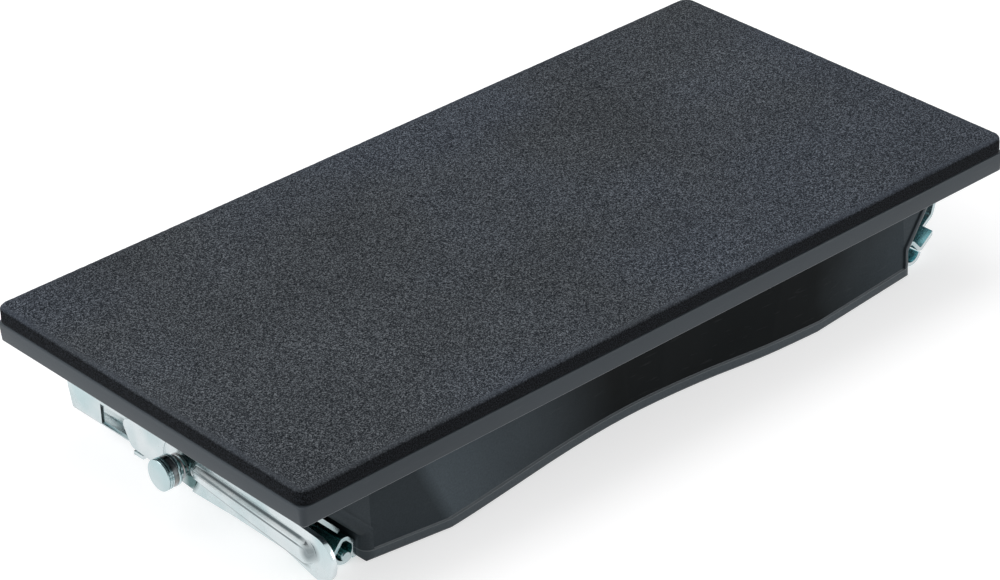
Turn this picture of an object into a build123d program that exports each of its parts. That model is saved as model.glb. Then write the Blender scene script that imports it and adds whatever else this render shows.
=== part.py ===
from build123d import *
from math import acos, asin, atan2, cos, degrees, dist, pi, radians, sin, sqrt
import os

os.makedirs("parts", exist_ok=True)

# Plate and pad
plate_length = 210
plate_width = 105
plate_thickness = 4.9
plate_corner_radius = 1.5
plate_draft_step = 0.4
plate_edge_chamfer = 0.3
pad_inset = 0.05
pad_thickness = 3.8
pad_corner_radius = 2.2
pad_edge_chamfer = 0.6
adhesive_thickness = 0.3
adhesive_inset = 2.2

# Grip
grip_height = 22.7
end_wall_reach = 83.2
end_wall_height = 6.4
slope_reach = 98.1
grip_wall = 2.6
grip_floor = 3.0
grip_corner_radius = 2.6
grip_edge_chamfer = 0.8
crease_radius = 4.5
rim_half_width = 47.4
panel_depth = 0.6
panel_floor_height = 2.7
panel_knee_reach = 80.9
panel_knee_height = 8.1
panel_top_reach = 94.25
half_turn = 180
quarter_turn = 90

# Hourglass side of the grip as shares of the end wall's reach and the rim's half width
rim_reach_shares = (-0.7392, -0.577, -0.4147, -0.2524, -0.0361, 0.1082, 0.2464, 0.3786, 0.5228, 0.595)
rim_width_shares = (1.0, 0.9705, 0.9346, 0.9051, 0.8903, 0.903, 0.9283, 0.962, 0.9831, 0.9895)
top_reach_shares = (-0.8413, -0.625, -0.4327, -0.2524, -0.0361, 0.1082, 0.2644, 0.4327, 0.5769, 0.6671)
top_width_shares = (0.9736, 0.9304, 0.8924, 0.8671, 0.8523, 0.865, 0.8903, 0.9283, 0.9599, 0.9705)
left_end_width_share = 0.8861
right_end_width_share = 0.8376

# Screws that hold the grip to the plate
screw_reach = 58
screw_side = 30
screw_shank_diameter = 3.2
screw_head_diameter = 6.4
screw_head_height = 2.2
screw_end_gap = 1.5
cross_slot_width = 0.9
cross_slot_depth = 1.2
cross_share = 0.62
counterbore_diameter = 7.2
counterbore_depth = 8
boss_diameter = 10.5
plate_boss_height = 8.7
pilot_floor = 1.2
fit_clearance = 0.05
plate_rib_length = 150
rib_thickness = 1.6
plate_rib_width = 70
plate_rib_height = 3
plate_rib_corner = 5

# Bracket, distances out from the grip's end wall
bracket_sheet = 0.9
bracket_bend_radius = 0.95
foot_bottom = 0.6
foot_top = 4.3
arch_inner_out = 2.2
arch_outer_out = 3.5
arch_height = 6.1
fold_out = 6.1
fold_height = 3.1
web_out = 13.35
web_bend_height = 8.45
web_top = 17
arch_half_length = 41.2
web_root_half_length = 38.0
web_half_length = 40.2
web_corner_radius = 3
web_notch_depth = 3.6
web_cut_depth = 2.2
slot_spare_turn = 6
curl_height = 3.4
curl_angle = 165
curl_length = 7
curl_side = 37.7
knuckle_side = 27.6
knuckle_length = 2.8
knuckle_turn = 200
knuckle_floor = 0.3
tab_side = 22
tab_width = 6
tab_gap = 0.4
arch_slot_start = 1.0
arch_slot_end = 7.4
window_side = 22.2
window_length = 10.4
window_height = 5
window_centre_height = 11.3
stop_side = 12.6
stop_length = 3.2
stop_reach = 15.2
stop_root = 13
stop_top = 8.4
stop_thickness = 0.9

# Rivets
rivet_side = 31.5
rivet_height = 2.5
rivet_shank_diameter = 1.6
rivet_head_diameter = 2.6
rivet_head_height = 0.9

# Hinge rod
rod_out = 3.2
rod_height = 2.35
rod_diameter = 2.2
rod_free_end = 42.2
rod_hidden_end = 36.5

# Jaw
jaw_sheet = 1.0
jaw_gap = 1.0
jaw_half_length = 40.5
jaw_start = 3.7
jaw_end = 11.6
jaw_lip_length = 1.5
jaw_lip_turn = 38
jaw_bend_radius = 1.2
knuckle_clearance = 0.06
knuckle_wrap = 235
jaw_tab_overlap = 2.2
ledge_side = 8.5
ledge_length = 7
ledge_end = 11.0
ledge_top = 11.12
ledge_thickness = 0.8
ledge_window_height = 3.3

# Lever and its pivot
pivot_side = 2.5
pivot_height = 12.4
lever_gap = 0.05
lever_sheet = 1.3
lever_length = 51.9
lever_depth = 6.1
lever_tip_radius = 5.4
lever_neck_radius = 4.5
lever_corner_radius = 1.6
root_share = 0.6
bead_height = 1.3
bead_shoulder = 0.8
bead_start_radius = 1.8
bead_end_radius = 2.9
bead_hollow_inset = 1.5
bead_hollow_depth = 1.4
dish_diameter = 12
dish_depth = 0.5
pin_radius = 4.6
pin_diameter = 2.4
pin_inner_out = 10.0
pin_head_height = 0.4
pin_head_diameter = 2.7
lever_hole_clearance = 0.08
pin_gap = 0.3
pin_travel = 16

# Lever outline from the pivot as shares of its length and depth
lever_outline_shares = ((-0.397, 0.344), (-0.337, -0.574), (-0.231, -0.639), (0.079, -0.852),
                        (0.364, -0.787), (0.680, -0.836), (0.680, 0.638), (0.337, 0.951),
                        (0.048, 0.984), (-0.279, 0.852))
lever_neck_shares = (0.680, -0.100)
lever_tip_shares = (0.863, -0.350)
bead_start_shares = (0.12, 0.156)
bead_end_shares = (0.805, -0.290)

# Stud, washers and springs on the lever
stud_shank_diameter = 4.0
stud_hole_clearance = 0.1
stud_head_diameter = 7.4
stud_head_out = 19.4
stud_head_height = 1.7
stud_tail_diameter = 5.6
stud_tail_height = 0.5
flat_washer_out = 17.4
flat_washer_thickness = 0.8
flat_washer_diameter = 7.4
spring_washer_out = 18.3
spring_washer_thickness = 1.0
spring_washer_diameter = 7.2
spring_washer_split = 0.8
coil_wire = 0.5
coil_radius = 2.75
coil_start_out = 15.22
coil_pitch = 0.95
coil_turns = 1.75
hinge_coil_radius = 1.7
hinge_coil_wire = 0.55
hinge_coil_pitch = 1.0
hinge_coil_turns = 2.5
hinge_coil_side = -13
hinge_slot_side = -9
leg_rise = 5.7
leg_bend = 0.9
leg_tail = 1.3
foot_leg_length = 2.0
wire_sides = 6
quarters = 4
samples_per_arc = 6

boss_joint_height = grip_height - plate_boss_height
screw_top = grip_height - pilot_floor - screw_end_gap
plate_top = grip_height + plate_thickness
adhesive_top = plate_top + adhesive_thickness
slope_angle = degrees(atan2(grip_height - end_wall_height, slope_reach - end_wall_reach))
slope_out = cos(radians(slope_angle))
slope_up = sin(radians(slope_angle))
rod_centre = (end_wall_reach + rod_out, rod_height)
rod_radius = rod_diameter / 2
web_outer_face = end_wall_reach + web_out + bracket_sheet / 2
lever_inner_face = web_outer_face + lever_gap
lever_outer_face = lever_inner_face + lever_sheet


def out_point(distance, height):
    """Point of an end profile, measured out from the grip's end wall."""
    return (end_wall_reach + distance, height)


def along_slope(distance, offset):
    """Point at a distance up the grip's sloped end and an offset off its face."""
    reach = end_wall_reach + distance * slope_out + offset * slope_up
    return (reach, end_wall_height + distance * slope_up - offset * slope_out)


def side_points(reach_shares, width_shares, inset):
    """Points of one hourglass side, moved in by an inset."""
    return [
        (reach * end_wall_reach, width * rim_half_width - inset)
        for reach, width in zip(reach_shares, width_shares)
    ]


def hourglass(height, reach_shares, width_shares, inset):
    """Closed plan of the grip at one height."""
    points = side_points(reach_shares, width_shares, inset)
    mirrored = [(x, -y) for x, y in points]
    left_end = (-slope_reach, left_end_width_share * rim_half_width - inset)
    right_end = (slope_reach, right_end_width_share * rim_half_width - inset)
    with BuildSketch(Plane.XY.offset(height)) as plan:
        with BuildLine():
            Line(left_end, points[0])
            Spline(*points)
            Line(points[-1], right_end)
            Line(right_end, (right_end[0], -right_end[1]))
            Line((right_end[0], -right_end[1]), mirrored[-1])
            Spline(*reversed(mirrored))
            Line(mirrored[0], (left_end[0], -left_end[1]))
            Line((left_end[0], -left_end[1]), left_end)
        make_face()
    return plan.sketch


def end_profile(inset, floor, top, edge):
    """Trapezoid of the grip seen from the side, with walls moved in by an inset and its foot chamfered."""
    slope_shift = inset / slope_up
    knee = end_wall_reach - inset
    knee_height = end_wall_height + (slope_shift - inset) * slope_up / slope_out
    top_reach = end_wall_reach + (top - end_wall_height) * slope_out / slope_up - slope_shift
    foot = [(knee - edge, floor), (knee, floor + edge)] if edge else [(knee, floor)]
    right = [*foot, (knee, knee_height), (top_reach, top)]
    left = [(-reach, height) for reach, height in reversed(right)]
    with BuildSketch() as profile:
        with BuildLine():
            Polyline(*right, *left, close=True)
        make_face()
    return profile.sketch


def hourglass_body(inset, floor, top, edge=0):
    """Loft through the plans, the lowest drawn in by an edge, and keep what lies in the end profile."""
    with BuildPart() as side_view:
        with BuildSketch(Plane.XZ.offset(-plate_width)):
            add(end_profile(inset, floor, top, edge))
        extrude(amount=2 * plate_width)
    with BuildPart() as body:
        if edge:
            add(hourglass(0, rim_reach_shares, rim_width_shares, inset + edge))
        add(hourglass(edge, rim_reach_shares, rim_width_shares, inset))
        add(hourglass(grip_height, top_reach_shares, top_width_shares, inset))
        loft(ruled=True)
        add(side_view.part, mode=Mode.INTERSECT)
    return body.part


def bent_strip(path, thickness, half_length, side):
    """Strip of sheet that follows a path in the side view."""
    with BuildPart() as strip:
        with BuildSketch(Plane.XZ.offset(-side)):
            trace(path, line_width=thickness)
        extrude(amount=half_length, both=True)
    return strip.part


screw_places = [(x * screw_reach, y * screw_side) for x in (-1, 1) for y in (-1, 1)]

# Sanding side
with BuildPart() as sanding_pad:
    with BuildSketch(Plane.XY.offset(adhesive_top)):
        RectangleRounded(plate_length - 2 * pad_inset, plate_width - 2 * pad_inset, pad_corner_radius)
    extrude(amount=pad_thickness)
    chamfer(sanding_pad.edges().group_by(Axis.Z)[-1], length=pad_edge_chamfer)

with BuildPart() as pad_adhesive:
    with BuildSketch(Plane.XY.offset(plate_top)):
        RectangleRounded(
            plate_length - 2 * adhesive_inset, plate_width - 2 * adhesive_inset, pad_corner_radius,
        )
    extrude(amount=adhesive_thickness)

plate_draft = degrees(asin(plate_draft_step / plate_thickness))
with BuildPart() as base_plate:
    with BuildSketch(Plane.XY.offset(plate_top)):
        RectangleRounded(plate_length, plate_width, plate_corner_radius)
    extrude(amount=-plate_thickness, taper=plate_draft)
    chamfer(base_plate.edges().group_by(Axis.Z)[-1], length=plate_edge_chamfer)
    chamfer(base_plate.edges().group_by(Axis.Z)[0], length=plate_edge_chamfer)
    with BuildSketch(Plane.XY.offset(grip_height)):
        RectangleRounded(plate_rib_length, plate_rib_width, plate_rib_corner)
        RectangleRounded(
            plate_rib_length - 2 * rib_thickness, plate_rib_width - 2 * rib_thickness,
            plate_rib_corner - rib_thickness, mode=Mode.SUBTRACT,
        )
    extrude(amount=-plate_rib_height)
    with BuildSketch(Plane.XY.offset(boss_joint_height)):
        with Locations(*screw_places):
            Circle(boss_diameter / 2)
    extrude(amount=grip_height - boss_joint_height)
    with BuildSketch(Plane.XY.offset(boss_joint_height)):
        with Locations(*screw_places):
            Circle(screw_shank_diameter / 2 + fit_clearance)
    extrude(amount=grip_height - boss_joint_height - pilot_floor, mode=Mode.SUBTRACT)

# Grip
with BuildPart() as panel_cut:
    with BuildSketch(Plane.XZ):
        with BuildLine():
            Polyline(
                (-panel_knee_reach, panel_floor_height), (-panel_knee_reach, panel_knee_height),
                (-panel_top_reach, grip_height), (panel_top_reach, grip_height),
                (panel_knee_reach, panel_knee_height), (panel_knee_reach, panel_floor_height), close=True,
            )
        make_face()
    extrude(amount=plate_width, both=True)
    add(hourglass_body(panel_depth, 0, grip_height), mode=Mode.SUBTRACT)

with BuildPart() as grip_shell:
    add(hourglass_body(0, 0, grip_height, grip_edge_chamfer))
    creases = grip_shell.edges().filter_by_position(
        Axis.Z, grip_height / 3, 2 * grip_height / 3
    ).filter_by_position(Axis.X, -end_wall_reach + crease_radius, end_wall_reach - crease_radius)
    fillet(creases, radius=crease_radius)
    end_corners = [
        edge for edge in grip_shell.edges()
        if grip_edge_chamfer < edge.center().Z < grip_height - grip_corner_radius
        and abs(edge.center().X) > end_wall_reach - fit_clearance
        and edge.bounding_box().size.Y < plate_width / 2
    ]
    fillet(end_corners, radius=grip_corner_radius)
    add(panel_cut.part, mode=Mode.SUBTRACT)
    add(hourglass_body(grip_wall, grip_floor, grip_height), mode=Mode.SUBTRACT)
    with BuildSketch(Plane.XY.offset(grip_floor / 2)):
        with Locations(*screw_places):
            Circle(boss_diameter / 2)
    extrude(amount=boss_joint_height - grip_floor / 2)
    with BuildSketch():
        with Locations(*screw_places):
            Circle(counterbore_diameter / 2)
    extrude(amount=counterbore_depth, mode=Mode.SUBTRACT)
    with BuildSketch():
        with Locations(*screw_places):
            Circle(screw_shank_diameter / 2 + fit_clearance)
    extrude(amount=boss_joint_height, mode=Mode.SUBTRACT)
    with BuildSketch(Plane.YZ.offset(end_wall_reach - grip_wall)):
        with Locations((-rivet_side, rivet_height), (rivet_side, rivet_height)):
            Circle(rivet_shank_diameter / 2 + fit_clearance)
    extrude(amount=grip_wall, mode=Mode.SUBTRACT)
    with BuildSketch(Plane.YZ.offset(-end_wall_reach)):
        with Locations((-rivet_side, rivet_height), (rivet_side, rivet_height)):
            Circle(rivet_shank_diameter / 2 + fit_clearance)
    extrude(amount=grip_wall, mode=Mode.SUBTRACT)


# Screws
with BuildPart() as grip_screw:
    head_bottom = counterbore_depth - screw_head_height
    with BuildSketch(Plane.XY.offset(head_bottom)):
        Circle(screw_head_diameter / 2)
    extrude(amount=screw_head_height)
    with BuildSketch(Plane.XY.offset(head_bottom)):
        Rectangle(screw_head_diameter * cross_share, cross_slot_width)
        Rectangle(cross_slot_width, screw_head_diameter * cross_share)
    extrude(amount=cross_slot_depth, mode=Mode.SUBTRACT)
    with BuildSketch(Plane.XY.offset(counterbore_depth)):
        Circle(screw_shank_diameter / 2)
    extrude(amount=screw_top - counterbore_depth)

# Bracket
bracket_path_points = [
    out_point(bracket_sheet / 2, foot_bottom), out_point(bracket_sheet / 2, foot_top),
    out_point(arch_inner_out, arch_height), out_point(arch_outer_out, arch_height),
    out_point(fold_out, fold_height), out_point(web_out, web_bend_height), out_point(web_out, web_top),
]
with BuildLine(mode=Mode.PRIVATE) as bracket_path:
    FilletPolyline(*bracket_path_points, radius=bracket_bend_radius)
curl_radius = rod_out - bracket_sheet / 2
with BuildLine(mode=Mode.PRIVATE) as curl_path:
    CenterArc(out_point(rod_out, curl_height), curl_radius, half_turn, curl_angle)
grip_knuckle_radius = rod_height - knuckle_floor - bracket_sheet / 2
with BuildLine(mode=Mode.PRIVATE) as knuckle_lip_path:
    FilletPolyline(
        out_point(bracket_sheet / 2, rod_height),
        out_point(bracket_sheet / 2, knuckle_floor + bracket_sheet / 2),
        out_point(rod_out, knuckle_floor + bracket_sheet / 2), radius=bracket_sheet,
    )
with BuildLine(mode=Mode.PRIVATE) as knuckle_curl_path:
    CenterArc(rod_centre, grip_knuckle_radius, -quarter_turn, knuckle_turn)
slot_turn = pin_travel + slot_spare_turn
with BuildLine(mode=Mode.PRIVATE) as pin_slot_path:
    CenterArc((0, 0), pin_radius, slot_spare_turn / 2, -slot_turn)
with BuildPart() as bracket:
    add(bent_strip(bracket_path.line, bracket_sheet, arch_half_length, 0))
    for side in (-curl_side, curl_side):
        add(bent_strip(curl_path.line, bracket_sheet, curl_length / 2, side))
    for side in (-knuckle_side, knuckle_side):
        add(bent_strip(knuckle_lip_path.line, bracket_sheet, knuckle_length / 2, side))
        add(bent_strip(knuckle_curl_path.line, bracket_sheet, knuckle_length / 2, side))
    with BuildSketch(Plane.YZ.offset(web_outer_face - web_notch_depth)):
        for side in (-1, 1):
            with BuildLine():
                Polyline(
                    (side * arch_half_length, 0), (side * web_root_half_length, 0),
                    (side * web_root_half_length, web_bend_height),
                    (side * web_half_length, web_top + bracket_sheet),
                    (side * arch_half_length, web_top + bracket_sheet), close=True,
                )
            make_face()
    extrude(amount=web_notch_depth, mode=Mode.SUBTRACT)
    web_corners = bracket.edges().filter_by(Axis.X).group_by(Axis.Z)[-1]
    fillet(web_corners, radius=web_corner_radius)
    with BuildSketch(Plane.YZ.offset(web_outer_face - web_cut_depth)):
        with Locations((-window_side, window_centre_height), (window_side, window_centre_height)):
            Rectangle(window_length, window_height)
        with Locations((pivot_side, pivot_height)):
            Circle(stud_shank_diameter / 2 + fit_clearance)
            SlotArc(pin_slot_path.edges()[0], pin_diameter + 2 * pin_gap)
    extrude(amount=web_cut_depth, mode=Mode.SUBTRACT)
    slot_end = tab_side + tab_width / 2 + tab_gap
    tab_slot = tab_width + 2 * tab_gap
    for slot_side, slot_length in ((slot_end, tab_slot), (hinge_slot_side, hinge_slot_side + slot_end)):
        with BuildSketch(Plane.XZ.offset(-slot_side)):
            with Locations(out_point((arch_slot_start + arch_slot_end) / 2, web_bend_height / 2)):
                Rectangle(arch_slot_end - arch_slot_start, web_bend_height)
        extrude(amount=slot_length, mode=Mode.SUBTRACT)
    with BuildSketch(Plane.XY.offset(stop_top)):
        with Locations((end_wall_reach + (stop_root + stop_reach) / 2, -stop_side)):
            Rectangle(stop_reach - stop_root, stop_length)
    extrude(amount=-stop_thickness)
    with BuildSketch(Plane.YZ.offset(end_wall_reach)):
        with Locations((-rivet_side, rivet_height), (rivet_side, rivet_height)):
            Circle(rivet_shank_diameter / 2 + fit_clearance)
    extrude(amount=bracket_sheet, mode=Mode.SUBTRACT)

# Rivet through the bracket's foot and the grip's end wall
with BuildPart() as bracket_rivet:
    with BuildSketch(Plane.YZ.offset(end_wall_reach + bracket_sheet)):
        Circle(rivet_head_diameter / 2)
    extrude(amount=rivet_head_height)
    with BuildSketch(Plane.YZ.offset(end_wall_reach - grip_wall)):
        Circle(rivet_shank_diameter / 2)
    extrude(amount=grip_wall + bracket_sheet)

with BuildPart() as hinge_rod:
    with BuildSketch(Plane.XZ.offset(-rod_free_end)):
        with Locations(rod_centre):
            Circle(rod_radius)
    extrude(amount=rod_free_end + rod_hidden_end)

# Jaw
jaw_middle = jaw_gap + jaw_sheet / 2
lip_reach = jaw_lip_length * cos(radians(slope_angle + jaw_lip_turn))
lip_rise = jaw_lip_length * sin(radians(slope_angle + jaw_lip_turn))
lip_root = along_slope(jaw_end, jaw_middle)
with BuildLine(mode=Mode.PRIVATE) as jaw_path:
    FilletPolyline(
        along_slope(jaw_start, jaw_middle), lip_root,
        (lip_root[0] + lip_reach, lip_root[1] + lip_rise), radius=jaw_bend_radius,
    )
knuckle_radius = rod_radius + knuckle_clearance + jaw_sheet / 2
tab_reach = rod_centre[0] + knuckle_radius
tab_bend_distance = (tab_reach - along_slope(0, jaw_middle)[0]) / slope_out
with BuildLine(mode=Mode.PRIVATE) as tab_path:
    FilletPolyline(
        (tab_reach, rod_height), along_slope(tab_bend_distance, jaw_middle),
        along_slope(tab_bend_distance + jaw_tab_overlap, jaw_middle), radius=jaw_bend_radius,
    )
with BuildLine(mode=Mode.PRIVATE) as knuckle_path:
    CenterArc(rod_centre, knuckle_radius, 0, -knuckle_wrap)
ledge_rise = ledge_top - end_wall_height + jaw_middle * slope_out
ledge_root = along_slope(ledge_rise / slope_up, jaw_middle)[0]
ledge_tip = end_wall_reach + ledge_end
with BuildPart() as jaw:
    add(bent_strip(jaw_path.line, jaw_sheet, jaw_half_length, 0))
    for side in (-tab_side, tab_side):
        add(bent_strip(tab_path.line, jaw_sheet, tab_width / 2, side))
        add(bent_strip(knuckle_path.line, jaw_sheet, tab_width / 2, side))
    with BuildSketch(Plane.YZ.offset(end_wall_reach)):
        with Locations((ledge_side, ledge_top + ledge_window_height / 2)):
            Rectangle(ledge_length, ledge_window_height)
    extrude(amount=ledge_end, mode=Mode.SUBTRACT)
    with BuildSketch(Plane.XY.offset(ledge_top)):
        with Locations(((ledge_root + ledge_tip) / 2, ledge_side)):
            Rectangle(ledge_tip - ledge_root, ledge_length)
    extrude(amount=-ledge_thickness)

# Lever
def lever_point(shares):
    """Point of the lever's face, measured from its pivot in shares."""
    return (pivot_side + shares[0] * lever_length, pivot_height + shares[1] * lever_depth)


def rim_point(centre, radius, angle):
    """Point on a circle at an angle."""
    return (centre[0] + radius * cos(angle), centre[1] + radius * sin(angle))


def round_ended(start_shares, start_radius, end_shares, end_radius):
    """Face between two round ends with straight flanks touching both."""
    start, end = lever_point(start_shares), lever_point(end_shares)
    along = atan2(end[1] - start[1], end[0] - start[0])
    lean = acos((start_radius - end_radius) / dist(start, end))
    with BuildSketch() as face:
        with BuildLine():
            Line(rim_point(start, start_radius, along + lean), rim_point(end, end_radius, along + lean))
            ThreePointArc(
                rim_point(end, end_radius, along + lean), rim_point(end, end_radius, along),
                rim_point(end, end_radius, along - lean),
            )
            Line(rim_point(end, end_radius, along - lean), rim_point(start, start_radius, along - lean))
            ThreePointArc(
                rim_point(start, start_radius, along - lean), rim_point(start, start_radius, along + pi),
                rim_point(start, start_radius, along + lean),
            )
        make_face()
    return face.sketch


pivot_place = (pivot_side, pivot_height)
pin_place = (pivot_side + pin_radius, pivot_height)
dish_floor = lever_outer_face - dish_depth
with BuildPart() as lever:
    with BuildSketch(Plane.YZ.offset(lever_inner_face)) as lever_outline:
        with BuildLine():
            Polyline(*[lever_point(shares) for shares in lever_outline_shares], close=True)
        make_face()
        corners = lever_outline.vertices()
        corners = corners.filter_by_position(Axis.X, -lever_length, lever_length * root_share)
        fillet(corners, radius=lever_corner_radius)
        add(round_ended(lever_neck_shares, lever_neck_radius, lever_tip_shares, lever_tip_radius))
    extrude(amount=lever_sheet)
    with BuildSketch(Plane.YZ.offset(lever_outer_face)):
        add(round_ended(bead_start_shares, bead_start_radius, bead_end_shares, bead_end_radius))
    with BuildSketch(Plane.YZ.offset(lever_outer_face + bead_height)):
        add(round_ended(
            bead_start_shares, bead_start_radius - bead_shoulder,
            bead_end_shares, bead_end_radius - bead_shoulder,
        ))
    loft(ruled=True)
    with BuildSketch(Plane.YZ.offset(lever_inner_face)):
        add(round_ended(
            bead_start_shares, bead_start_radius - bead_hollow_inset,
            bead_end_shares, bead_end_radius - bead_hollow_inset,
        ))
    extrude(amount=bead_hollow_depth, mode=Mode.SUBTRACT)
    with BuildSketch(Plane.YZ.offset(dish_floor)):
        with Locations(pivot_place):
            Circle(dish_diameter / 2)
    extrude(amount=dish_depth + bead_height, mode=Mode.SUBTRACT)
    with BuildSketch(Plane.YZ.offset(lever_inner_face)):
        with Locations(pivot_place):
            Circle(stud_shank_diameter / 2 + lever_hole_clearance)
        with Locations(pin_place):
            Circle(pin_diameter / 2)
    extrude(amount=lever_sheet, mode=Mode.SUBTRACT)

with BuildPart() as push_pin:
    with BuildSketch(Plane.YZ.offset(end_wall_reach + pin_inner_out)):
        with Locations(pin_place):
            Circle(pin_diameter / 2)
    extrude(amount=dish_floor - end_wall_reach - pin_inner_out)
    with BuildSketch(Plane.YZ.offset(dish_floor)):
        with Locations(pin_place):
            Circle(pin_head_diameter / 2)
    extrude(amount=pin_head_height)

# Pivot stud with its washers and coil
web_inner_face = web_outer_face - bracket_sheet
head_start = end_wall_reach + stud_head_out
with BuildPart() as pivot_stud:
    with BuildSketch(Plane.YZ.offset(web_inner_face)):
        with Locations(pivot_place):
            Circle(stud_tail_diameter / 2)
    extrude(amount=-stud_tail_height)
    with BuildSketch(Plane.YZ.offset(web_inner_face)):
        with Locations(pivot_place):
            Circle(stud_shank_diameter / 2)
    extrude(amount=head_start - web_inner_face)
    with BuildSketch(Plane.YZ.offset(head_start)):
        with Locations(pivot_place):
            Circle(stud_head_diameter / 2)
    extrude(amount=stud_head_height)

with BuildPart() as flat_washer:
    with BuildSketch(Plane.YZ.offset(end_wall_reach + flat_washer_out)):
        with Locations(pivot_place):
            Circle(flat_washer_diameter / 2)
            Circle(stud_shank_diameter / 2 + stud_hole_clearance, mode=Mode.SUBTRACT)
    extrude(amount=flat_washer_thickness)

with BuildPart() as spring_washer:
    with BuildSketch(Plane.YZ.offset(end_wall_reach + spring_washer_out)):
        with Locations(pivot_place):
            Circle(spring_washer_diameter / 2)
            Circle(stud_shank_diameter / 2 + stud_hole_clearance, mode=Mode.SUBTRACT)
        with Locations((pivot_side, pivot_height + spring_washer_diameter / 4)):
            Rectangle(spring_washer_split, spring_washer_diameter / 2, mode=Mode.SUBTRACT)
    extrude(amount=spring_washer_thickness)


def turn_points(place, pitch_axis, radius, pitch, turns, start):
    """Points and directions on a coil at every quarter turn."""
    points = []
    for step in range(int(turns * quarters) + 1):
        angle = start + step * pi / 2
        across, up = radius * cos(angle), radius * sin(angle)
        along = pitch * step / quarters
        if pitch_axis == "x":
            spot = Vector(place[0] + along, place[1] + across, place[2] + up)
            way = Vector(pitch / (2 * pi), -radius * sin(angle), radius * cos(angle))
        else:
            spot = Vector(place[0] + across, place[1] + along, place[2] + up)
            way = Vector(-radius * sin(angle), pitch / (2 * pi), radius * cos(angle))
        points.append((spot, way.normalized()))
    return points


def biarc(start, start_way, end, end_way):
    """Two arcs that leave one point and reach the next along the given directions."""
    span = end - start
    ways = start_way + end_way
    spread = 2 * (1 - start_way.dot(end_way))
    reach = (sqrt(span.dot(ways) ** 2 + spread * span.dot(span)) - span.dot(ways)) / spread
    middle = (start + end + (start_way - end_way) * reach) / 2
    first = Edge.make_tangent_arc(start, start_way, middle)
    return [first, Edge.make_tangent_arc(middle, first % 1, end)]


def coil_edges(points):
    """Arcs through a coil's points, two to each quarter turn."""
    edges = []
    for (start, start_way), (end, end_way) in zip(points, points[1:]):
        edges += biarc(start, start_way, end, end_way)
    return edges


def least_gap(edges, wire):
    """Least gap between a wire's turns, measured on its centre line."""
    spots = [edge @ (step / samples_per_arc) for edge in edges for step in range(samples_per_arc)]
    apart = len(spots) * 2 * quarters // len(edges)
    gaps = [
        (spots[j] - spots[i]).length
        for i in range(len(spots)) for j in range(i + apart // 2, len(spots))
    ]
    return min(gaps) - wire


def wire_body(edges, wire):
    """Unbroken wire of six-sided section along joined edges."""
    path = Wire(edges)
    with BuildPart() as body:
        with BuildSketch(Plane(origin=path @ 0, z_dir=path % 0)):
            RegularPolygon(wire / 2, wire_sides)
        sweep(path=path)
    return body.part


# Coil between the lever and the flat washer
coil_place = (end_wall_reach + coil_start_out, pivot_side, pivot_height)
coil_path = coil_edges(turn_points(coil_place, "x", coil_radius, coil_pitch, coil_turns, 0))
lever_spring = wire_body(coil_path, coil_wire)
print("lever_spring gap", least_gap(coil_path, coil_wire))

# Torsion spring round the hinge rod, one leg down to the foot and one up the jaw
hinge_place = (rod_centre[0], hinge_coil_side - hinge_coil_pitch * hinge_coil_turns / 2, rod_height)
hinge_points = turn_points(hinge_place, "y", hinge_coil_radius, hinge_coil_pitch, hinge_coil_turns, pi)
hinge_path = coil_edges(hinge_points)
first_spot, first_way = hinge_points[0]
last_spot, last_way = hinge_points[-1]
slope_way = Vector(slope_out, 0, slope_up)
leg_corner = last_spot + last_way * leg_rise
leg_start = leg_corner - last_way * leg_bend
leg_end = leg_corner + slope_way * leg_bend
foot_leg = Edge.make_line(first_spot - first_way * foot_leg_length, first_spot)
jaw_leg = [
    Edge.make_line(last_spot, leg_start), Edge.make_tangent_arc(leg_start, last_way, leg_end),
    Edge.make_line(leg_end, leg_end + slope_way * leg_tail),
]
jaw_spring = wire_body([foot_leg, *hinge_path, *jaw_leg], hinge_coil_wire)
print("jaw_spring gap", least_gap(hinge_path, hinge_coil_wire))


def save(piece, name):
    """Label a piece and write its STEP file."""
    piece.label = name
    export_step(piece, "parts/" + name + ".step")


for name, piece in (
    ("sanding_pad", sanding_pad), ("pad_adhesive", pad_adhesive),
    ("base_plate", base_plate), ("grip_shell", grip_shell),
):
    save(piece.part, name)
for number, place in enumerate(screw_places, start=1):
    save(grip_screw.part.moved(Location((*place, 0))), "grip_screw_" + str(number))

# The right end's clamp, and the left end's turned half round the vertical
clamp_pieces = (
    ("bracket", bracket.part), ("hinge_rod", hinge_rod.part), ("jaw", jaw.part),
    ("jaw_spring", jaw_spring), ("lever", lever.part), ("push_pin", push_pin.part),
    ("pivot_stud", pivot_stud.part), ("flat_washer", flat_washer.part),
    ("spring_washer", spring_washer.part), ("lever_spring", lever_spring),
    ("bracket_rivet_1", bracket_rivet.part.moved(Location((0, -rivet_side, rivet_height)))),
    ("bracket_rivet_2", bracket_rivet.part.moved(Location((0, rivet_side, rivet_height)))),
)
for end, turn in (("right", 0), ("left", half_turn)):
    for name, piece in clamp_pieces:
        save(piece.rotate(Axis.Z, turn), end + "_" + name)
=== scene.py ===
"""Hand sanding block with two lever clamps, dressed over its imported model."""

import logging
import math
from dataclasses import dataclass
from enum import Enum
from typing import Iterable, Sequence

import bmesh
import bpy
from mathutils import Matrix, Vector, noise

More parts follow.
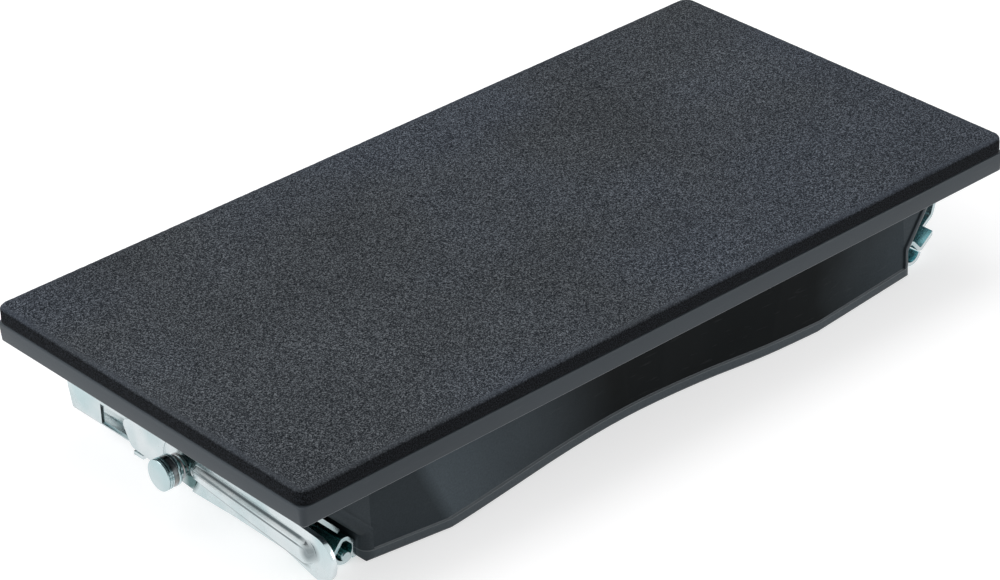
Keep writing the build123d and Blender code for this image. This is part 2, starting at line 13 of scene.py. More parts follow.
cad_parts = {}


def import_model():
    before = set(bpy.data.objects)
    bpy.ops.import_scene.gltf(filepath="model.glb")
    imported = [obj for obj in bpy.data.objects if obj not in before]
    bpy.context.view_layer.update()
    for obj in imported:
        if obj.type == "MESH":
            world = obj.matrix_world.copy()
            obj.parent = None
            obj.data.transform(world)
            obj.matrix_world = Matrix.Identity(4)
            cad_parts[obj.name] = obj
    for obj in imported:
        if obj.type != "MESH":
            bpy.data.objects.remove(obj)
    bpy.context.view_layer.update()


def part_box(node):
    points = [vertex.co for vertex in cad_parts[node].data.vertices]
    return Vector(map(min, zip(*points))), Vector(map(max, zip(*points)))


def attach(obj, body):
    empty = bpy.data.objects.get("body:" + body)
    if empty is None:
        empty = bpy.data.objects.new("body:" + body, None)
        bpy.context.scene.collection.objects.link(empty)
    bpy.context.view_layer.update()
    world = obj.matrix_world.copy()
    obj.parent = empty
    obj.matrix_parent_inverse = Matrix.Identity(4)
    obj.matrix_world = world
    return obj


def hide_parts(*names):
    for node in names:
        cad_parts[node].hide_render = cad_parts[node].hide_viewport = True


logging.basicConfig(level=logging.INFO, format="%(message)s")
log = logging.getLogger("sanding_block")

Colour = tuple[float, float, float]
Point = tuple[float, float, float]
Pair = tuple[float, float]
Socket = bpy.types.NodeSocket
Node = bpy.types.Node
Tree = bpy.types.NodeTree
Material = bpy.types.Material
Piece = bpy.types.Object
MM = 0.001
SOFT_ANGLE = math.radians(35)
WHITE: Colour = (1.0, 1.0, 1.0)


class End(Enum):
    """The block's two ends, each with its own clamp."""

    LEFT = "left"
    RIGHT = "right"

    @property
    def sign(self) -> float:
        """Direction along X in which this end points."""
        return -1.0 if self is End.LEFT else 1.0


class Sheen(Enum):
    """How glossy a plated part is, as its mean roughness."""

    ROLLED = 0.24
    TURNED = 0.2
    DRAWN = 0.3


class NodeSheet:
    """A node tree being laid out, with short calls for the usual nodes."""

    def __init__(self, tree: Tree) -> None:
        """Wrap the tree to add nodes to.

        Args:
            tree: The node tree.
        """
        self.tree = tree
        self.column = 0

    def add(self, kind: str, values: dict[str | int, object] | None = None,
            **settings: object) -> Node:
        """Add a node.

        Args:
            kind: Blender's node type.
            values: What its inputs get, by their names or numbers.
            settings: Attributes to set on the node.

        Returns:
            The new node.
        """
        node = self.tree.nodes.new(kind)
        node.location = (self.column * 180, 0)
        self.column += 1
        for name, value in settings.items():
            setattr(node, name, value)
        for place, value in (values or {}).items():
            self.feed(node.inputs[place], value)
        return node

    def link(self, source: Socket, target: Socket) -> None:
        """Join an output to an input."""
        self.tree.links.new(source, target)

    def feed(self, target: Socket, value: object) -> None:
        """Give an input its value.

        Args:
            target: The input.
            value: A socket, a number, a vector or a colour.
        """
        if isinstance(value, Socket):
            self.link(value, target)
        else:
            target.default_value = (*value, 1.0) if target.type == "RGBA" else value

    def math(self, operation: str, first: object, second: object = None,
             clamp: bool = False) -> Socket:
        """Work out a value from one or two sockets or numbers."""
        values = {0: first} if second is None else {0: first, 1: second}
        return self.add("ShaderNodeMath", values, operation=operation, use_clamp=clamp).outputs[0]

    def times(self, first: object, second: object) -> Socket:
        """Multiply two values."""
        return self.math("MULTIPLY", first, second)

    def split(self, vector: Socket) -> tuple[Socket, ...]:
        """Take a vector apart into X, Y and Z."""
        return tuple(self.add("ShaderNodeSeparateXYZ", {0: vector}).outputs)

    def noise(self, vector: Socket, scale: object, detail: object = 2.0,
              rough: float = 0.5) -> Socket:
        """Give the value of a noise, with its cycles per metre, its octaves and their strength."""
        values = {"Vector": vector, "Scale": scale, "Detail": detail, "Roughness": rough}
        return self.add("ShaderNodeTexNoise", values).outputs["Fac"]

    def ramp(self, value: Socket, stops: Sequence[tuple[float, Colour]]) -> Socket:
        """Turn a value into a colour.

        Args:
            value: Socket between 0 and 1.
            stops: Positions and their colours.

        Returns:
            The colour socket.
        """
        node = self.add("ShaderNodeValToRGB", {"Fac": value})
        elements = node.color_ramp.elements
        while len(elements) < len(stops):
            elements.new(0.5)
        for element, (place, colour) in zip(elements, stops):
            element.position = place
            element.color = (*colour, 1.0)
        return node.outputs["Color"]

    def spread(self, value: Socket, low: float, high: float, to_low: float = 0.0,
               to_high: float = 1.0) -> Socket:
        """Map a value's range to another, clamped."""
        values = {0: value, 1: low, 2: high, 3: to_low, 4: to_high}
        return self.add("ShaderNodeMapRange", values).outputs["Result"]

    def mix(self, factor: object, first: object, second: object, blend: str = "MIX") -> Socket:
        """Mix two colours, each a socket or a tuple, by a socket or a number."""
        values = {0: factor, 6: first, 7: second}
        return self.add("ShaderNodeMix", values, data_type="RGBA", blend_type=blend).outputs[2]


def start_group(name: str, inputs: dict[str, float],
                outputs: Iterable[str]) -> tuple[NodeSheet, dict[str, Socket], Node]:
    """Start a shader node group with number inputs.

    Args:
        name: The group's name.
        inputs: Its inputs and their defaults, besides Vector.
        outputs: Its value outputs.

    Returns:
        A sheet over the group, its inputs as sockets, and its output node.
    """
    tree = bpy.data.node_groups.new(name, "ShaderNodeTree")
    tree.interface.new_socket("Vector", in_out="INPUT", socket_type="NodeSocketVector")
    for title, value in inputs.items():
        socket = tree.interface.new_socket(title, in_out="INPUT", socket_type="NodeSocketFloat")
        socket.default_value = value
    for title in outputs:
        tree.interface.new_socket(title, in_out="OUTPUT", socket_type="NodeSocketFloat")
    sheet = NodeSheet(tree)
    return sheet, sheet.add("NodeGroupInput").outputs, sheet.add("NodeGroupOutput")


def shop_wear_group() -> None:
    """Build the group that gives handling haze and fine scuffs, both between 0 and 1."""
    sheet, source, result = start_group(
        "shop_wear", {"Haze Scale": 60.0, "Scuff Scale": 900.0, "Scuff Amount": 0.5},
        ("Haze", "Scuff"))
    haze = sheet.noise(source["Vector"], source["Haze Scale"], 4.0)
    sheet.link(sheet.spread(haze, 0.35, 0.68), result.inputs["Haze"])
    stretch = sheet.add("ShaderNodeMapping", {
        "Vector": source["Vector"], "Rotation": (0.3, 0.5, 0.4), "Scale": (0.12, 1.0, 1.0)})
    scuff = sheet.noise(stretch.outputs["Vector"], source["Scuff Scale"], 3.0)
    marks = sheet.spread(scuff, 0.62, 0.74)
    sheet.link(sheet.math("MULTIPLY", marks, source["Scuff Amount"], clamp=True),
               result.inputs["Scuff"])


def fine_grain_group() -> None:
    """Build the group that gives an even moulded or plated grain, around one half."""
    sheet, source, result = start_group("fine_grain", {"Scale": 1500.0, "Detail": 2.0}, ("Grain",))
    grain = sheet.noise(source["Vector"], source["Scale"], source["Detail"])
    sheet.link(grain, result.inputs["Grain"])


class Paint:
    """A material being painted, with its shader and its Object coordinates."""

    def __init__(self, name: str) -> None:
        """Start the material of this name.

        Args:
            name: The material's name.
        """
        self.material = bpy.data.materials.new(name)
        self.material.use_nodes = True
        self.sheet = NodeSheet(self.material.node_tree)
        self.shader = self.material.node_tree.nodes["Principled BSDF"]
        coordinates = self.sheet.add("ShaderNodeTexCoord").outputs
        self.place, self.normal = coordinates["Object"], coordinates["Normal"]

    def set(self, **values: object) -> None:
        """Set the shader's inputs, with underscores for the spaces in their names."""
        for title, value in values.items():
            self.sheet.feed(self.shader.inputs[title.replace("_", " ")], value)

    def group(self, name: str, **values: float) -> dict[str, Socket]:
        """Place a shared node group.

        Args:
            name: The group's name.
            values: Values of its inputs, with underscores for spaces.

        Returns:
            The group's outputs.
        """
        inputs = {title.replace("_", " "): value for title, value in values.items()}
        return self.sheet.add("ShaderNodeGroup", {"Vector": self.place, **inputs},
                              node_tree=bpy.data.node_groups[name]).outputs

    def bump(self, height: Socket, distance: float) -> None:
        """Feed a height to the shader's normal, with its depth in metres."""
        node = self.sheet.add("ShaderNodeBump", {"Height": height, "Distance": distance})
        self.set(Normal=node.outputs["Normal"])


@dataclass(frozen=True)
class Finish:
    """A finish that can be laid on a piece as one material."""

    name: str

    def build(self) -> Material:
        """Make the material.

        Returns:
            The material.
        """
        paint = Paint(self.name)
        self.lay(paint)
        return paint.material

    def lay(self, paint: Paint) -> None:
        """Lay the finish on its material."""
        raise NotImplementedError


@dataclass(frozen=True)
class FoamRubber(Finish):
    """Fine-celled foam rubber, speckled on top, with a painted edge highlight and darker sides."""

    face_height: float
    reach: Point
    dark: Colour = (0.0045, 0.0055, 0.007)
    mid: Colour = (0.0265, 0.031, 0.038)
    light: Colour = (0.165, 0.18, 0.2)
    # Painted highlight colour for the top edge.
    edge: Colour = (0.052, 0.059, 0.07)
    side_colour: Colour = (0.0025, 0.0029, 0.0034)
    warm: Colour = (1.0, 1.0, 0.98)
    cool: Colour = (0.96, 0.99, 1.05)
    # Painted highlight along the top edge: how far in it reaches, where it is full, and how
    # strongly it shows.
    highlight_width: float = 1.9 * MM
    highlight_full: float = 0.9 * MM
    highlight_share: float = 0.6
    cell: float = 3300.0
    fine_share: float = 0.88
    cloud_scale: float = 26.0
    cloud_depth: Pair = (0.86, 1.14)
    tint_scale: float = 15.0
    side_start: float = 0.6 * MM
    side_end: float = 0.1 * MM
    side_ragged: float = 0.3 * MM
    specular: float = 0.1
    depth: float = 0.14 * MM

    def lay(self, paint: Paint) -> None:
        """Lay the speckled cells, the painted highlight along the top edge and the darker sides.

        Args:
            paint: The foam's material.
        """
        sheet, place = paint.sheet, paint.place
        x, y, z = sheet.split(place)
        fine = sheet.noise(place, self.cell, 2.0, 0.75)
        coarse = sheet.noise(place, self.cell * 0.45, 1.0)
        cells = sheet.math("ADD", sheet.times(fine, self.fine_share),
                           sheet.times(coarse, 1.0 - self.fine_share))
        speckle = sheet.ramp(cells, ((0.38, self.dark), (0.5, self.mid), (0.64, self.light)))
        cloud = sheet.spread(sheet.noise(place, self.cloud_scale, 3.0), 0.3, 0.7, *self.cloud_depth)
        tint = sheet.ramp(sheet.noise(place, self.tint_scale),
                          ((0.42, self.warm), (0.62, self.cool)))
        # Painted highlight: a paler, smoother strip along the top edge.
        edge_highlights = [
            sheet.spread(sheet.math("ABSOLUTE", axis), reach - self.highlight_width,
                         reach - self.highlight_full)
            for axis, reach in zip((x, y), self.reach)]
        edge_highlight = sheet.times(sheet.math("MAXIMUM", *edge_highlights), self.highlight_share)
        highlighted = sheet.mix(edge_highlight, speckle, self.edge)
        tinted = sheet.mix(1.0, highlighted, tint, "MULTIPLY")
        scaled = sheet.add("ShaderNodeVectorMath", {0: tinted, "Scale": cloud}, operation="SCALE")
        height = sheet.math("ADD", z, sheet.times(fine, self.side_ragged))
        top = sheet.spread(height, self.face_height - self.side_start,
                           self.face_height - self.side_end)
        # The sides take a darker ramp than the top face.
        side = sheet.ramp(fine, ((0.42, self.side_colour), (0.72, self.mid)))
        paint.set(Base_Color=sheet.mix(top, side, scaled.outputs[0]),
                  Roughness=sheet.spread(cells, 0.4, 0.65, 0.98, 0.8),
                  Specular_IOR_Level=self.specular)
        paint.bump(cells, self.depth)


@dataclass(frozen=True)
class MouldedPlastic(Finish):
    """Moulded plastic with a fine grain, haze and scuffs, and a painted highlight strip low down.
    """

    colour: Colour
    haze: Colour
    roughness: float
    specular: float
    # Painted highlight: a paler strip between two heights, standing in for light along an edge.
    highlight_strip: Colour
    highlight_low: float
    highlight_high: float
    scuff: Colour = (0.16, 0.17, 0.18)
    grain: float = 2600.0
    depth: float = 0.02 * MM
    low_blur: float = 0.04 * MM
    high_blur: float = 0.08 * MM

    def tone(self, paint: Paint, haze: Socket) -> Socket:
        """Colour the moulding before its grain and scuffs."""
        return paint.sheet.mix(haze, self.colour, self.haze)

    def lay(self, paint: Paint) -> None:
        """Lay the plastic with its haze, grain, scuffs and painted highlight strip.

        Args:
            paint: The plastic's material.
        """
        sheet = paint.sheet
        wear = paint.group("shop_wear", Haze_Scale=45.0, Scuff_Scale=1300.0, Scuff_Amount=0.25)
        grain = paint.group("fine_grain", Scale=self.grain, Detail=2.0)["Grain"]
        base = self.tone(paint, wear["Haze"])
        speck = sheet.mix(sheet.spread(grain, 0.3, 0.7, 0.0, 0.2), base, self.haze)
        scuffed = sheet.mix(sheet.times(wear["Scuff"], 0.3), speck, self.scuff)
        rough = sheet.spread(wear["Haze"], 0.0, 1.0, self.roughness - 0.04, self.roughness + 0.05)
        # Painted highlight strip between its two heights.
        low, high, z = self.highlight_low, self.highlight_high, sheet.split(paint.place)[2]
        above = sheet.spread(z, low - self.low_blur, low + self.low_blur)
        below = sheet.spread(z, high - self.high_blur, high + self.high_blur, 1.0, 0.0)
        paint.set(Base_Color=sheet.mix(sheet.times(above, below), scuffed, self.highlight_strip),
                  Roughness=rough, Specular_IOR_Level=self.specular)
        paint.bump(grain, self.depth)


@dataclass(frozen=True)
class PaintedLightPlastic(MouldedPlastic):
    """Plastic with painted light paler towards the ends and painted highlights low down."""

    # Painted light along the wall: none near the darkest point, rising to full towards the ends.
    painted_light: Colour = (0.102, 0.127, 0.146)
    darkest_x: float = 22 * MM
    darkest_reach: float = 31 * MM
    lightest_reach: float = 84 * MM
    haze_reach: float = 6 * MM
    # Painted shade: less painted light on the left end panel beyond the slanted crease.
    crease: float = -60.4 * MM
    crease_slant: float = 0.43
    crease_sides: Pair = (2.2 * MM, 1.6 * MM)
    panel: float = 0.42
    # Painted highlight on the end posts.
    post: float = 80.9 * MM
    post_blur: float = 0.1 * MM
    post_highlight_share: float = 0.3
    # Painted highlight colour for the lowest strip of the wall and the end posts.
    rim_and_post_highlight: Colour = (0.12, 0.14, 0.155)
    rim_height: float = 2.7 * MM
    rim_blur: float = 0.12 * MM

    def tone(self, paint: Paint, haze: Socket) -> Socket:
        """Paint light away from the wall's darkest point, and highlights low down and on the posts.

        Args:
            paint: The plastic's material.
            haze: The haze mask.

        Returns:
            The colour.
        """
        sheet = paint.sheet
        x, _, z = sheet.split(paint.place)
        # Painted light, rising from the darkest point towards the ends.
        away = sheet.math("ABSOLUTE", sheet.math("SUBTRACT", x, self.darkest_x))
        clouded = sheet.math("ADD", away, sheet.times(haze, self.haze_reach))
        # Painted shade on the left end panel.
        slanted = sheet.math("ADD", x, sheet.times(z, self.crease_slant))
        before, after = self.crease_sides
        panel = sheet.spread(slanted, self.crease - before, self.crease + after, self.panel)
        painted_light = sheet.times(sheet.spread(clouded, self.darkest_reach, self.lightest_reach), panel)
        wall = sheet.mix(painted_light, super().tone(paint, haze), self.painted_light)
        # Painted highlights on the lowest strip and the end posts.
        low = sheet.spread(z, self.rim_height, self.rim_height + self.rim_blur, 1.0, 0.0)
        end = sheet.spread(sheet.math("ABSOLUTE", x), self.post, self.post + self.post_blur, 0.0,
                           self.post_highlight_share)
        return sheet.mix(sheet.math("MAXIMUM", low, end), wall, self.rim_and_post_highlight)


@dataclass(frozen=True)
class ZincPlate(Finish):
    """Bright zinc plating with a cool blue-green passivation."""

    bright: Colour = (0.68, 0.73, 0.745)
    cool: Colour = (0.42, 0.56, 0.58)
    dull: Colour = (0.6, 0.62, 0.62)
    sheen: Sheen = Sheen.ROLLED
    streak_scale: float = 70.0
    depth: float = 0.004 * MM

    def shade(self, paint: Paint, base: Socket) -> Socket:
        """Paint shade over the plating's colour. Plain plating gets none."""
        return base

    def lay(self, paint: Paint) -> None:
        """Lay the plating with its pooled tint, haze and scuffs.

        Args:
            paint: The plating's material.
        """
        sheet = paint.sheet
        wear = paint.group("shop_wear", Haze_Scale=120.0, Scuff_Scale=1500.0, Scuff_Amount=0.6)
        streak = sheet.noise(paint.place, self.streak_scale, 2.0, 0.45)
        pooled = sheet.mix(sheet.spread(streak, 0.46, 0.66, 0.0, 0.85), self.bright, self.cool)
        tint = sheet.mix(sheet.times(wear["Haze"], 0.35), pooled, self.cool)
        plate = sheet.mix(sheet.times(wear["Scuff"], 0.35), tint, self.dull)
        level = self.sheen.value
        rough = sheet.math("ADD", sheet.spread(wear["Haze"], 0.0, 1.0, level - 0.05, level + 0.06),
                           sheet.times(wear["Scuff"], 0.15))
        paint.set(Base_Color=self.shade(paint, plate), Metallic=1.0, Roughness=rough)
        paint.bump(paint.group("fine_grain", Scale=3800.0, Detail=1.0)["Grain"], self.depth)


@dataclass(frozen=True)
class FoldedZinc(ZincPlate):
    """Zinc on the brackets and jaws, with painted shade in their folds and the end edges left
    bright.
    """

    # Painted shade colours for the folds: dark at the left end, bluer at the right.
    painted_shade: Colour = (0.11, 0.33, 0.32)
    painted_blue_shade: Colour = (0.32, 0.64, 0.68)
    web: float = 95.6 * MM
    web_blur: float = 0.3 * MM
    share: float = 0.9
    side: float = 33 * MM
    side_blur: float = 4 * MM

    def shade(self, paint: Paint, base: Socket) -> Socket:
        """Paint shade in the folds behind the web on the -Y side, dark at the left, blue at the
        right.

        Args:
            paint: The plating's material.
            base: The plating's colour.

        Returns:
            The colour.
        """
        sheet = paint.sheet
        x, y, _ = sheet.split(paint.place)
        outward, sideways, _ = sheet.split(paint.normal)
        # Painted shade behind the web on the -Y side, kept off faces that face along Y and, at the
        # right, off outward faces.
        behind = sheet.spread(sheet.math("ABSOLUTE", x), self.web - self.web_blur, self.web,
                              self.share, 0.0)
        near = sheet.spread(y, -self.side, self.side_blur - self.side, 1.0, 0.0)
        face = sheet.spread(sheet.math("ABSOLUTE", sideways), 0.75, 0.9, 1.0, 0.0)
        right = sheet.spread(x, -1 * MM, 1 * MM)
        shown = sheet.times(right, sheet.spread(outward, 0.1, 0.4))
        covered = sheet.times(face, sheet.math("SUBTRACT", 1.0, shown))
        shade_colour = sheet.mix(right, self.painted_shade, self.painted_blue_shade)
        return sheet.mix(sheet.times(sheet.times(behind, near), covered), base, shade_colour)


@dataclass(frozen=True)
class LeverZinc(ZincPlate):
    """Zinc on the levers, with painted shade along the pressed bead and in the dish round the
    pivot.

    Places on the lever's face are a distance along it and a rise, both from the pivot. Each crease
    is its rise over the bead's middle at both ends, and its width.
    """

    # Painted shade colours: for the dish round the pivot, and for the dark marks along the bead and
    # at its blind end.
    painted_shade: Colour = (0.05, 0.13, 0.13)
    painted_dark: Colour = (0.1, 0.13, 0.14)
    pivot: Pair = (2.5 * MM, 12.4 * MM)
    bead_start: Pair = (6.2 * MM, 0.95 * MM)
    bead_end: Pair = (41.6 * MM, -1.9 * MM)
    creases: tuple[Point, ...] = (
        (-2.1 * MM, -3.25 * MM, 0.8 * MM), (1.8 * MM, 2.9 * MM, 0.34 * MM),
        (1.0 * MM, 1.7 * MM, 0.34 * MM))
    crease_core: float = 0.15 * MM
    crease_share: float = 0.9
    fade_in: Pair = (5.2 * MM, 9.2 * MM)
    fade_out: Pair = (40.1 * MM, 43.1 * MM)
    blind_end: Pair = (43.6 * MM, -1.0 * MM)
    blind_reach: Pair = (0.8 * MM, 2.8 * MM)
    blind_share: float = 0.72
    dish: Pair = (0.6 * MM, 0.0)
    dish_reach: Pair = (4.8 * MM, 6.3 * MM)
    dish_side: Pair = (-1.5 * MM, 2.0 * MM)
    dish_share: float = 0.92

    def shade(self, paint: Paint, base: Socket) -> Socket:
        """Paint shade into the bead's creases, its blind end and the pivot's dish.

        Args:
            paint: The plating's material.
            base: The plating's colour.

        Returns:
            The colour.
        """
        sheet = paint.sheet
        x, y, z = sheet.split(paint.place)
        side = sheet.times(y, sheet.math("SIGN", x))
        along = sheet.math("SUBTRACT", side, self.pivot[0])
        rise = sheet.math("SUBTRACT", z, self.pivot[1])
        within = sheet.times(sheet.spread(along, *self.fade_in),
                             sheet.spread(along, *self.fade_out, 1.0, 0.0))
        coloured = base
        # Painted shade and dark reflection along the bead's creases.
        for first, last, width in self.creases:
            centre = sheet.spread(along, self.bead_start[0], self.bead_end[0],
                                  self.bead_start[1] + first, self.bead_end[1] + last)
            off = sheet.math("ABSOLUTE", sheet.math("SUBTRACT", rise, centre))
            mark = sheet.spread(off, self.crease_core, width, self.crease_share, 0.0)
            coloured = sheet.mix(sheet.times(mark, within), coloured, self.painted_dark)
        # Painted shade in the bead's blind end.
        blind = self.distance(sheet, along, rise, self.blind_end)
        patch = sheet.spread(blind, *self.blind_reach, self.blind_share, 0.0)
        coloured = sheet.mix(patch, coloured, self.painted_dark)
        # Painted shade in the dish beside the stud's head.
        dish = self.distance(sheet, along, rise, self.dish)
        ring = sheet.times(sheet.spread(dish, *self.dish_reach, self.dish_share, 0.0),
                           sheet.spread(along, *self.dish_side))
        return sheet.mix(ring, coloured, self.painted_shade)

    def distance(self, sheet: NodeSheet, along: Socket, rise: Socket, spot: Pair) -> Socket:
        """Measure how far the surface is from a spot on the lever's face.

        Args:
            sheet: The material's sheet.
            along: Distance along the lever.
            rise: Height over the pivot.
            spot: The spot, in the same two.

        Returns:
            The distance.
        """
        squares = []
        for value, middle in zip((along, rise), spot):
            off = sheet.math("ABSOLUTE", sheet.math("SUBTRACT", value, middle))
            squares.append(sheet.math("POWER", off, 2.0))
        return sheet.math("SQRT", sheet.math("ADD", *squares))


@dataclass(frozen=True)
class SpringWire(Finish):
    """Drawn spring wire, darker than the plating."""

    steel: Colour = (0.42, 0.43, 0.45)
    oil: Colour = (0.24, 0.23, 0.22)

    def lay(self, paint: Paint) -> None:
        """Lay the wire's steel and oil.

        Args:
            paint: The wire's material.
        """
        wear = paint.group("shop_wear", Haze_Scale=400.0, Scuff_Scale=4000.0, Scuff_Amount=0.8)
        paint.set(Base_Color=paint.sheet.mix(wear["Haze"], self.steel, self.oil), Metallic=1.0,
                  Roughness=paint.sheet.spread(wear["Scuff"], 0.0, 1.0, 0.28, 0.5))


@dataclass(frozen=True)
class Adhesive(Finish):
    """Thin contact adhesive, dark and slightly tacky."""

    colour: Colour = (0.02, 0.02, 0.021)
    dry: Colour = (0.06, 0.058, 0.05)
    streak_scale: float = 500.0
    depth: float = 0.05 * MM

    def lay(self, paint: Paint) -> None:
        """Lay the streaked adhesive.

        Args:
            paint: The adhesive's material.
        """
        sheet = paint.sheet
        streak = sheet.noise(paint.place, self.streak_scale, 3.0)
        paint.set(Base_Color=sheet.ramp(streak, ((0.35, self.colour), (0.7, self.dry))),
                  Roughness=sheet.spread(streak, 0.3, 0.7, 0.35, 0.6))
        paint.bump(streak, self.depth)


def seen_ray(sheet: NodeSheet) -> Socket:
    """Tell rays that show a surface, straight or mirrored, from those that only light.

    Args:
        sheet: The sheet to add to.

    Returns:
        A socket that is 1 for camera, glossy and transmission rays.
    """
    path = sheet.add("ShaderNodeLightPath").outputs
    mirrored = sheet.math("ADD", path["Is Glossy Ray"], path["Is Transmission Ray"])
    return sheet.math("ADD", path["Is Camera Ray"], mirrored, clamp=True)


def dress(piece: Piece, material: Material) -> None:
    """Give a piece one material.

    Args:
        piece: The piece.
        material: Its finish.
    """
    piece.data.materials.clear()
    piece.data.materials.append(material)
    for polygon in piece.data.polygons:
        polygon.material_index = 0


def new_piece(name: str, mesh: bpy.types.Mesh) -> Piece:
    """Link a mesh to the scene as an object at the origin.

    Args:
        name: The piece's name.
        mesh: Its mesh.

    Returns:
        The object.
    """
    piece = bpy.data.objects.new(name, mesh)
    bpy.context.scene.collection.objects.link(piece)
    return piece


def piece_of(name: str, shape: bmesh.types.BMesh) -> Piece:
    """Turn a finished shape into a smooth piece.

    Args:
        name: The piece's name.
        shape: Its shape, which is freed.

    Returns:
        The piece.
    """
    bmesh.ops.recalc_face_normals(shape, faces=shape.faces)
    mesh = bpy.data.meshes.new(name)
    shape.to_mesh(mesh)
    shape.free()
    mesh.shade_smooth()
    return new_piece(name, mesh)


def make_plain(piece: Piece, angle: float) -> Piece:
    """Turn a piece's modifiers into a plain smooth mesh.

    Args:
        piece: The piece.
        angle: Angle above which its edges stay sharp.

    Returns:
        The same piece.
    """
    graph = bpy.context.evaluated_depsgraph_get()
    finished = bpy.data.meshes.new_from_object(piece.evaluated_get(graph))
    piece.modifiers.clear()
    piece.data = finished
    finished.name = piece.name
    finished.shade_smooth()
    finished.set_sharp_from_angle(angle=angle)
    return piece


@dataclass(frozen=True)
class Softener:
    """Makes a copy of a CAD node with its sharp edges broken as real edges are."""

    break_width: float
    segments: int = 2
    clamp: bool = True
    merge: float = 0.004 * MM
    flat_angle: float = math.radians(0.6)
    sharp_angle: float = math.radians(28)
    smooth_angle: float = math.radians(32)

    def copy(self, node: str, name: str) -> Piece:
        """Copy a node, merge it and round its edges.

        Args:
            node: The CAD node to stand for.
            name: Name of the new piece.

        Returns:
            The new piece.
        """
        mesh = bpy.data.objects[node].data.copy()
        mesh.name = name
        shape = bmesh.new()
        shape.from_mesh(mesh)
        bmesh.ops.remove_doubles(shape, verts=shape.verts, dist=self.merge)
        bmesh.ops.dissolve_limit(shape, angle_limit=self.flat_angle, verts=shape.verts,
                                 edges=shape.edges)
        shape.to_mesh(mesh)
        shape.free()
        piece = new_piece(name, mesh)
        if self.break_width:
            bevel = piece.modifiers.new("edge_break", "BEVEL")
            bevel.width = self.break_width
            bevel.segments = self.segments
            bevel.limit_method = "ANGLE"
            bevel.angle_limit = self.sharp_angle
            bevel.harden_normals = False
            bevel.use_clamp_overlap = self.clamp
        return make_plain(piece, self.smooth_angle)


